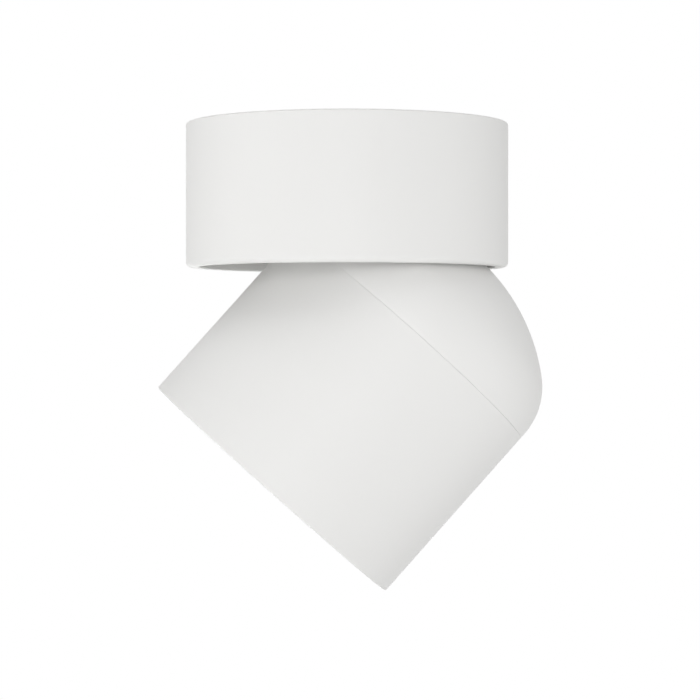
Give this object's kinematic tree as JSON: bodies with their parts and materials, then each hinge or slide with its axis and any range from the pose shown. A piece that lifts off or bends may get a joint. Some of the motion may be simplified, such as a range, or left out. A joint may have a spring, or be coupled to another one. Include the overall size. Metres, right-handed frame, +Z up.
{
  "type": "surface mounted ceiling spotlight",
  "caption": "Surface mounted ceiling spotlight: a white drum canopy with a barrel-shaped head that swivels and tilts, its domed rear turning in the mouth of the canopy.",
  "frame": {"origin": "on the ceiling plane, on the axis of the drum canopy", "axes": "+Z up, out of the ceiling face; the tilt axis lies along Y; the head's front points to -X and down at rest"},
  "size_m": [0.1309, 0.11, 0.159],
  "materials": {
    "white_powder_coat": "matte",
    "zinc_steel": "satin",
    "cast_aluminium": "satin",
    "brass": "satin",
    "black_plastic": "matte",
    "white_plastic": "satin",
    "nylon": "satin",
    "fibre": "matte",
    "circuit_board": "satin",
    "components": "satin",
    "ceramic_board": "satin",
    "phosphor": "satin",
    "thermal_pad": "matte",
    "reflector_metal": "polished",
    "clear_glass": "gloss",
    "grey_silicone": "matte",
    "black_rubber": "matte",
    "lead_sheath": "satin",
    "mains_cores": "satin",
    "earth_core": "satin"
  },
  "bodies": {
    "canopy": {"mounting_plate": "zinc_steel", "locking_tabs": "zinc_steel", "cable_grommet": "black_rubber", "terminal_block": "white_plastic", "terminal_screws": "zinc_steel", "earth_screw": "brass", "canopy_shell": "white_powder_coat", "locking_screws": "zinc_steel", "carrier_plate": "white_powder_coat", "carrier_screws": "zinc_steel", "stop_pin": "zinc_steel", "driver_case": "white_plastic", "driver_lid": "white_plastic", "driver_board": "circuit_board", "driver_components": "components", "driver_screws": "zinc_steel", "mains_leads": "mains_cores", "earth_lead": "earth_core", "earth_tag_screw": "brass", "lamp_lead_canopy": "lead_sheath", "glide_washers": "nylon"},
    "swivel": {"swivel_tube": "brass", "swivel_nut": "brass", "wave_washer": "zinc_steel", "swivel_arm": "zinc_steel", "lamp_lead_arm": "lead_sheath"},
    "head": {"rear_dome": "white_powder_coat", "head_barrel": "white_powder_coat", "heat_sink": "cast_aluminium", "hinge_lug": "zinc_steel", "hinge_screws": "zinc_steel", "pivot_bolt": "zinc_steel", "pivot_nut": "zinc_steel", "friction_washers": "fibre", "pivot_washers": "zinc_steel", "dome_screws": "zinc_steel", "thermal_pad": "thermal_pad", "led_board": "ceramic_board", "led_emitter": "phosphor", "led_holder": "white_plastic", "holder_screws": "zinc_steel", "reflector": "reflector_metal", "glass_seat": "cast_aluminium", "front_glass": "clear_glass", "glass_gasket": "grey_silicone", "baffle_ring": "black_plastic", "front_bezel": "white_powder_coat", "lamp_lead_head": "lead_sheath", "lead_bush": "black_rubber"}
  },
  "joints": [
    {"name": "swivel_turn", "type": "hinge", "parent": "canopy", "child": "swivel", "pos_m": [0, 0, -0.02585], "axis": [0, 0, 1], "range_deg": [-174, 174]},
    {"name": "head_tilt", "type": "hinge", "parent": "swivel", "child": "head", "pos_m": [0, 0, -0.09565], "axis": [0, 1, 0], "range_deg": [-41.8, 8.2]}
  ]
}
